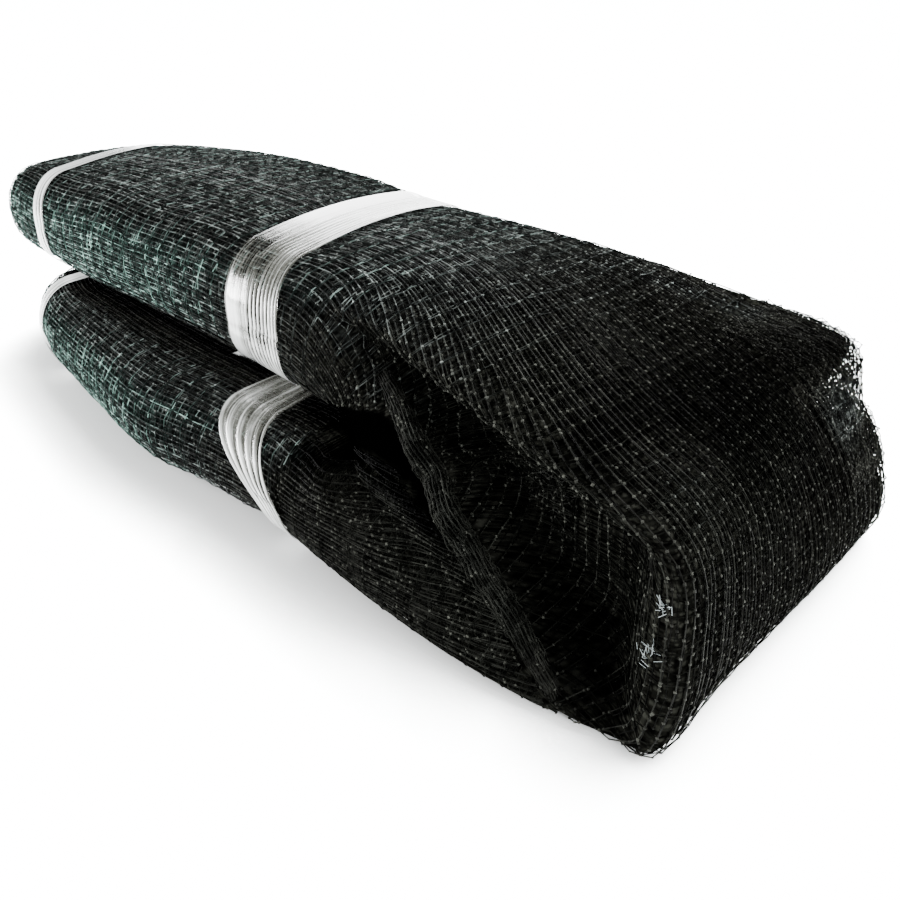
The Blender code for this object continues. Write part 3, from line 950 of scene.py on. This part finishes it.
def on_left_side(back, up, lift):
    """Points on the hank's left side, met by going level from the left at this back and up, and
    how far apart the rings lie there."""
    points, apart = [], []
    for b, u, high in zip(back, up, lift):
        start = Vector((shift_x - b, -BESIDE, max(u, LOWEST_RAY)))
        hit, normal, face, _ = hull.ray_cast(start, Vector((0, 1, 0)))
        points.append((hit + normal * high) if hit else Vector((shift_x - b, shift_y - 0.1, u)))
        apart.append(spread[face // COLUMNS, face % COLUMNS] if hit else NOT_MET)
    return np.array(points), np.array(apart)


def side_net(name, shape, off_line, points, dust_and_light_levels, gone, knotty=1.0):
    """A net on the side, with this share of its knots to be seen."""
    is_knot = off_line.max(axis=1) < AT_LINE
    is_knot &= seeded(len(name)).random(len(is_knot)) < knotty
    finished_net(name, shape, points, dust_and_light_levels, is_knot, gone)


# The net under the crease. Eight layers of the lower run's black net, which lie on its side below
# the gap between the runs, drawn together there into long low cells.
SIDE_MESH = (14.0 * MM, 6.4 * MM)
SIDE_CELLS, SIDE_LAYERS = (18, 17), 8
SIDE_PALING, SIDE_DIM = 0.070, 0.9  # of the outer layer, and of each next one as a share
for depth in range(SIDE_LAYERS):
    shape, spots, off_line = net_grid(*SIDE_CELLS, cuts=1)
    chance = seeded(700 + depth)
    back = 300 * MM - (spots[:, 0] + 0.23 * depth % 1) * SIDE_MESH[0]
    up = 1 * MM + (spots[:, 1] + 0.5 * (depth % 2)) * SIDE_MESH[1]
    arched = off_line[:, 1] * 2
    back = back + 1.2 * MM * (0.3 + arched) * chance.normal(size=len(back))
    up = up + 1.0 * MM * wander(back, up, 0.06, 710 + depth)
    points, _ = on_left_side(back, up, (1.2 - 0.3 * depth) * MM + ARCH * arched)
    foot = np.interp(back, GAP_BACK, GAP_FOOT)
    ahead = ahead_of(*PLEAT, back, up)
    gone = (up > foot) | (ahead > -4 * MM) | (back > SIDE_FAR)
    # painted shade: darker up towards the gap's foot, and layer by layer
    dust_and_light_levels = SIDE_PALING * ease(2 * MM, 30 * MM, foot - up) * SIDE_DIM**depth
    dust_and_light_levels *= 1 + ARCH_HIGHLIGHT * arched
    side_net(f"net_lower_side_{depth + 1}", shape, off_line, points, dust_and_light_levels, gone, 0.6)

# The net in the side hollow. The same black net, four layers sunk in between the pleat and the
# fold's face, where only knots and a few dim strands show in the dark.
HOLLOW_MESH, HOLLOW_STRAY = (10 * MM, 9 * MM), 1.5 * MM
HOLLOW_CELLS, HOLLOW_LAYERS = (24, 18), 4
HOLLOW_CREASE = 0.60  # the side shows only where the rings lie closer together than this
for depth in range(HOLLOW_LAYERS):
    shape, spots, off_line = net_grid(*HOLLOW_CELLS, cuts=1)
    chance = seeded(740 + depth)
    back = 252 * MM - (spots[:, 0] + 0.37 * depth) * HOLLOW_MESH[0]
    back = back + HOLLOW_STRAY * chance.normal(size=len(spots))
    up = 4 * MM + (spots[:, 1] + 0.61 * depth % 1) * HOLLOW_MESH[1]
    up = up + HOLLOW_STRAY * chance.normal(size=len(spots))
    points, apart = on_left_side(back, up, np.full(len(up), (0.8 - 0.4 * depth) * MM))
    ahead = ahead_of(*PLEAT, back, up)
    gone = (apart > HOLLOW_CREASE) | (ahead < 5 * MM) | (back < FACE_BACK)
    # painted shade: darker towards the bottom of the hollow
    dust_and_light_levels = 0.012 + 0.050 * ease(60 * MM, 140 * MM, up)
    side_net(f"net_hollow_{depth + 1}", shape, off_line, points, dust_and_light_levels, gone)

# The pleat. Three layers of the same net, rolled into a loose rope where the bundle is bent double;
# it is thickest in the middle, and only the net round it holds it.
PLEAT_CELLS, PLEAT_LAYERS = (38, 9), 3
PLEAT_RADIUS, PLEAT_STEP = 7.0, 0.8  # of the outer layer, and how much less each next one's is, mm
PLEAT_TURN = 3.4  # how far round the net goes, in radians
PLEAT_WIDER = 1.3  # along the side than out from it
PLEAT_PALING, PLEAT_KNOTTY = 0.12, 0.12
pleat_run = unit(PLEAT_FOOT - PLEAT_TOP)
pleat_run = np.array([-pleat_run[0], 0.0, pleat_run[1]])
out = np.array([0.30, -0.70, 0.62])  # squared to its run, the way that the pleat stands out
out = unit(out - pleat_run * (out @ pleat_run))
side_way = np.cross(pleat_run, out)
for depth in range(PLEAT_LAYERS):
    shape, spots, off_line = net_grid(*PLEAT_CELLS, cuts=1)
    chance = seeded(760 + depth)
    along = (spots[:, 0] + 0.4 * depth) / (PLEAT_CELLS[0] + 1)
    turn = (spots[:, 1] / PLEAT_CELLS[1] - 0.5) * PLEAT_TURN
    turn = turn + 0.25 * wander(along * 0.2, spots[:, 1] * 0.003, 0.03, 720 + depth)
    radius = (PLEAT_RADIUS - PLEAT_STEP * depth) * MM
    radius = radius * np.sin(np.pi * (0.16 + 0.70 * along)) ** 0.8
    radius = radius * (1 + 0.08 * chance.normal(size=len(along)))
    spine = PLEAT_TOP + (PLEAT_FOOT - PLEAT_TOP) * along[:, None]
    base, _ = on_left_side(spine[:, 0], spine[:, 1], np.zeros(len(along)))
    points = base + (radius * np.cos(turn))[:, None] * out
    points += (PLEAT_WIDER * radius * np.sin(turn))[:, None] * side_way
    # painted highlight on the rope's crest and painted shade on its flanks, fading towards its ends
    dust_and_light_levels = PLEAT_PALING * (1 - 0.5 * np.abs(np.sin(turn)))
    dust_and_light_levels *= ease(-0.1, 0.25, along) * ease(1.15, 0.7, along)
    gone = np.zeros(len(along), bool)
    side_net(f"net_pleat_{depth + 1}", shape, off_line, points, dust_and_light_levels, gone, PLEAT_KNOTTY)

# The tufts. Broken ends of thin plastic strand, bunched on the left edge of the fold's face, where
# they hang on in the net; they are painted pale grey, a painted highlight for the light they catch.
TUFTS = [(4, 104, 4.5), (5, 76, 6.5)]  # back, up and reach, in mm
TUFT_STRANDS, TUFT_THIN = 24, 0.42  # to a tuft, and their width as a share of a strand's
chance = seeded(780)
ends = []
for back, up, reach in TUFTS:
    middle, _ = on_left_side([back * MM], [up * MM], [1.5 * MM])
    for _ in range(TUFT_STRANDS):
        centre = middle[0] + chance.normal(size=3) * np.array([0.4, 0.3, 0.5]) * reach * MM
        way = chance.normal(size=3) * np.array([0.8, 0.35, 1.3]) * reach * MM * 0.28
        ends += [centre - way, centre + way]
shape = bmesh.new()
runs_long = shape.edges.layers.float.new("runs_long")
for end, other in zip(ends[::2], ends[1::2]):
    shape.edges.new((shape.verts.new(end), shape.verts.new(other)))[runs_long] = 1.0
tufts = strands_of("net_tufts", shape, TUFT_THIN)
tuft_glint_finish = Finish("net tuft", (0.24, 0.27, 0.27), roughness=0.35, specular=0.3)
for slot in range(len(tufts.data.materials)):
    tufts.data.materials[slot] = tuft_glint_finish.material

# The loose net at the right end of the fold's top edge. More layers of the same net, which have
# come away from the hank and bunched up, so that their cells are drawn small.
LOOSE_LONG, LOOSE_ROUND = (length_at(14.8), length_at(18.4)), (0.055, 0.160)
LOOSE_MESH = (4.2 * MM, 3.7 * MM)
LOOSE_FOLLOW = (1.0, 0.94, 0.86, 0.76, 0.64, 0.50, 0.34)
LOOSE_DEPTH = 20  # counted on from here, so that no loose layer strays as another layer does
LOOSE_SINK, LOOSE_TANGLE = 0.05, 0.9 * MM  # of each next layer, and of every vertex
for depth, follow in enumerate(LOOSE_FOLLOW):
    phases, sink = (0.37 * depth % 1, 0.61 * depth % 1), LOOSE_SINK * depth
    where = (LOOSE_MESH, LOOSE_LONG, LOOSE_ROUND, 0.0)
    name, depth = f"net_loose_{depth + 1}", LOOSE_DEPTH + depth
    net_layer(name, depth, phases, *where, 0, 0, follow, sink, LOOSE_TANGLE)

# The film bands. Clear stretch film, wound tight round each run and drawn into a rope of fine
# pleats; two wide ones near the fold, and two narrow ones of white film near the loose ends.
film = Finish("stretch film", (0.9, 0.92, 0.91), roughness=0.14, specular=1.0)
film.give("Coat Weight", 1.0)
film.give("Coat Roughness", 0.12)
cover = film.attribute("cover")
flow = film.add("ShaderNodeUVMap", uv_map="round_and_across").outputs["UV"]


def film_noise(scale, detail):
    """Noise on the film, by its number of spots a metre round and across."""
    stretched = film.add("ShaderNodeMapping", {"Vector": flow, "Scale": scale}).outputs[0]
    return film.noise(stretched, 1.0, detail)


streak = film_noise((9.0, 420.0, 1.0), 3.0)
cloud = film_noise((45.0, 70.0, 1.0), 4.0)
veil = film.fade(streak, 0.36, 0.64, -0.30, 0.22)
veil = film.maths("ADD", veil, film.fade(cloud, 0.35, 0.65, -0.14, 0.10))
share = film.maths("ADD", film.maths("SUBTRACT", 1.0, cover), 0.12)
milky = film.maths("ADD", cover, film.maths("MULTIPLY", share, veil), use_clamp=True)
tone = film.blend(film.fade(milky, 0.25, 0.95), (0.20, 0.20, 0.17), (0.93, 0.95, 0.94))
film.give("Base Color", tone)
film.give("Normal", film.add("ShaderNodeBump", (0.35, 0.0006, None, streak)).outputs[0])
clear = film.add("ShaderNodeBsdfTransparent").outputs[0]
film.show(film.add("ShaderNodeMixShader", (milky, clear, film.surface.outputs[0])))

# how many fine pleats, from what share of the width it lies broad and flat, how deep the pleats
# are, how many strips its mesh has across, and the flat size that it was let out to
FilmLook = namedtuple("FilmLook", "pleats broad depth strips flat")
FILM_LOOKS = {
    "band_upper_mid": FilmLook(9, 0.60, 1.5 * MM, 110, (0.085, 0.640)),
    "band_upper_far": FilmLook(2, 0.60, 0.4 * MM, 24, (0.030, 0.600)),
    "band_lower_mid": FilmLook(5, 0.85, 1.6 * MM, 80, (0.050, 0.560)),
    "band_lower_far": FilmLook(2, 0.60, 0.4 * MM, 24, (0.030, 0.560)),
}
FILM_LIFT, FILM_LOWEST = 1.5 * MM, 0.6 * MM  # off the form, and over the floor
TAIL_AT, TAIL_SPREAD, TAIL_LIFT = -2.31, 0.19, 5 * MM  # angle round the run, half width, rise
LEFT, SHOULDER = np.pi, 2.35  # angles round the run, as angles_round gives them


def turn_from(angles, middle):
    """How far angles round the run are from the middle one, whichever way is shorter."""
    return np.abs(np.angle(np.exp(1j * (angles - middle))))


def bump_at(angles, middle, reach):
    """1 at an angle round the run, smoothly 0 away from it."""
    return ease(reach, 0.0, turn_from(angles, middle))


def film_edges(band, angles):
    """The near and far edge of a film round the run; the lower middle one narrows on its left."""
    near, far = at_angle(band.near, angles), at_angle(band.far, angles)
    if band.name == "band_lower_mid":
        near = near - 14 * MM * bump_at(angles, 3.1, 1.5)
        far = far - 42 * MM * bump_at(angles, 3.0, 1.2)
    return near, far


def film_cover(band, angle, share, side, valley, dim):
    """How milky the film is: near 0.98 on its ridges, clearer in the valleys on the run's sides,
    in strips by chance, and clearer and darker over a shoulder as a painted shade."""
    cover = 0.98 - 1.10 * valley * (0.25 + 0.75 * side) * (0.72 + 0.28 * dim) - 0.25 * side * dim**3
    if band.name == "band_upper_mid":
        # painted shade: over the shoulder the film is made clearer and darker, for the dark that it
        # reflects
        stretched = 0.92 * bump_at(angle, SHOULDER, 0.62)
        cover = cover * (1 - stretched * (0.55 + 0.45 * ease(0.2, 0.7, share)))
        cover = cover - 0.20 * bump_at(angle, -3.02, 0.10)
    if band.name == "band_lower_mid":
        cover = cover * (1 - 0.55 * bump_at(angle, -2.10, 0.85))
    return cover


def film_band(band):
    look = FILM_LOOKS[band.name]
    shape, spots = new_grid(COLUMNS, look.strips)
    column, share = np.rint(spots[:, 0] * COLUMNS).astype(int) % COLUMNS, spots[:, 1] + 0.5
    angles = angles_round(band.run)
    near, far = film_edges(band, angles)
    torn = np.maximum(0.0, 1 - turn_from(angles, TAIL_AT) / TAIL_SPREAD)[column] * (band.tail > 0)
    angle = angles[column]
    back = near[column] + (far - near)[column] * share
    back = back + band.tail * MM * torn * ease(0.8, 1.0, share)
    # the row of the form at each point: rows run away from the fold on the upper run only
    rows = np.flatnonzero(RUN_ROWS[band.run])[:: 1 if band.run == "upper" else -1]
    row = np.empty(len(back))
    for k in range(COLUMNS):
        mine = column == k
        row[mine] = np.interp(back[mine], back_of[rows, k], rows)
    point, normal, _ = on_form(row, column.astype(float))
    # pleats, counted across the film: they wander a little, and the broad flat part is one more
    fine = np.minimum(share / look.broad, 1.0)
    strayed_by = 0.35 * wander(angle * 0.08, share * 0.02, 0.10, 5) * (1 - fine**4)
    count = look.pleats * fine**0.85 + strayed_by
    count = count + np.maximum(share - look.broad, 0.0) / (1 - look.broad) * 0.98
    pleat, strip = count % 1.0, np.floor(count).astype(int)
    ridge = np.minimum(pleat * 1.5, 1.0) * ease(1.0, 0.80, pleat)
    valley = 1 - ease(0.10, 0.64, pleat) * ease(1.0, 0.84, pleat)
    valley = valley * np.where(fine < 1, 1.0, 0.40)
    side = np.maximum(bump_at(angle, LEFT, 1.1), bump_at(angle, 0.0, 1.1))
    height = look.depth * ridge * (0.35 + 0.65 * side)
    lifted = FILM_LIFT + height + TAIL_LIFT * torn * ease(0.85, 1.0, share)
    place = point + normal * lifted[:, None]
    place[:, 2] = np.maximum(place[:, 2], FILM_LOWEST)
    strips = seeded(len(band.name) + look.pleats).uniform(0.0, 1.0, look.pleats + 4)
    cover = film_cover(band, angle, share, side, valley, strips[strip % len(strips)])
    lay_out(shape, place, cover=cover)
    turned = spots[:, 0] + 0.5
    flats = np.column_stack([turned * look.flat[1], share * look.flat[0]])
    lay_flat(shape, "round_and_across", flats)
    bmesh.ops.remove_doubles(shape, verts=shape.verts[:], dist=1e-6)
    bmesh.ops.recalc_face_normals(shape, faces=shape.faces[:])
    piece = new_piece(band.name.replace("band", "film"), shape, film.material)
    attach(piece, "root")
    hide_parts(band.name)


for band in BANDS:
    film_band(band)

# The floor, the light and the camera. A plain white floor that glows white, with a soft grey
# painted shadow close to the hank, a white studio round it, four soft lights, and a camera that
# looks along the hank from above its fold.
floor_shape = bmesh.new()
bmesh.ops.create_grid(floor_shape, x_segments=1, y_segments=1, size=8.0)
paint = Finish("floor", (0.85, 0.86, 0.86), roughness=0.5, specular=0.3)
# painted shadow: what stands near a spot of floor on this slant dims its glow
slant = paint.add("ShaderNodeCombineXYZ", (0.62, 0.42, 0.66)).outputs[0]
inputs = {"Distance": 0.08, "Normal": slant}
nearby = paint.add("ShaderNodeAmbientOcclusion", inputs, samples=12).outputs["AO"]
shade = paint.maths("POWER", paint.fade(nearby, 0.28, 0.97, 0.02, 1.0), 4.5)
rays = paint.add("ShaderNodeLightPath").outputs
seen = paint.maths("MULTIPLY", rays["Is Camera Ray"], 16.0)
seen = paint.maths("MULTIPLY_ADD", rays["Is Glossy Ray"], 4.0, seen)
inputs = {"Color": (0.97, 1.0, 0.99, 1.0), "Strength": paint.maths("MULTIPLY", shade, seen)}
glow = paint.add("ShaderNodeEmission", inputs).outputs[0]
paint.show(paint.add("ShaderNodeAddShader", (paint.surface.outputs[0], glow)))
floor = new_piece("floor", floor_shape, paint.material)

world = bpy.data.worlds.new("studio")
bpy.context.scene.world = world
world.use_nodes = True
studio = Nodes(world.node_tree)
lighting = studio.tree.nodes["Background"]
studio.plug((0.95, 1.0, 0.98, 1.0), lighting.inputs["Color"])
studio.plug(0.55, lighting.inputs["Strength"])
seen = studio.add("ShaderNodeBackground", ((0.98, 1.0, 0.99, 1.0), 18.0)).outputs[0]
direct = studio.add("ShaderNodeLightPath").outputs["Is Camera Ray"]
mix = studio.add("ShaderNodeMixShader", (direct, lighting.outputs[0], seen)).outputs[0]
studio.plug(mix, studio.tree.nodes["World Output"].inputs["Surface"])


def looking(thing, place, way):
    """Puts a lamp or a camera at a place, looking this way."""
    made = bpy.data.objects.new(thing.name, thing)
    made.location = place
    made.rotation_euler = way.to_track_quat("-Z", "Y").to_euler()
    bpy.context.scene.collection.objects.link(made)
    return made


def soft_light(name, place, target, size, watts):
    light = bpy.data.lights.new(name, "AREA")
    light.shape, light.size, light.size_y = "RECTANGLE", size[0], size[1]
    light.energy = watts
    looking(light, place, Vector(target) - Vector(place))


soft_light("key", (0.3, 1.6, 1.9), (0, 0, 0.1), (1.6, 1.2), 130)
soft_light("backdrop", (-1.4, 1.8, 0.75), (0, 0, 0.1), (2.6, 1.3), 90)
soft_light("fill", (-1.7, -1.6, 0.7), (-0.1, 0, 0.1), (1.6, 1.0), 215)
soft_light("front", (2.0, -0.3, 0.9), (0.4, 0, 0.1), (1.2, 0.9), 60)

lens = bpy.data.cameras.new("camera")
lens.lens, lens.sensor_width = 35.8, 36.0
lens.clip_start, lens.clip_end = 0.02, 50.0
pitch = np.radians(30.2)  # how far down it looks
way = Vector((-0.700 * np.cos(pitch), 0.714 * np.cos(pitch), -np.sin(pitch)))
camera = looking(lens, (0.162 + shift_x, -0.456 + shift_y, 0.395), way)
bpy.context.scene.camera = camera
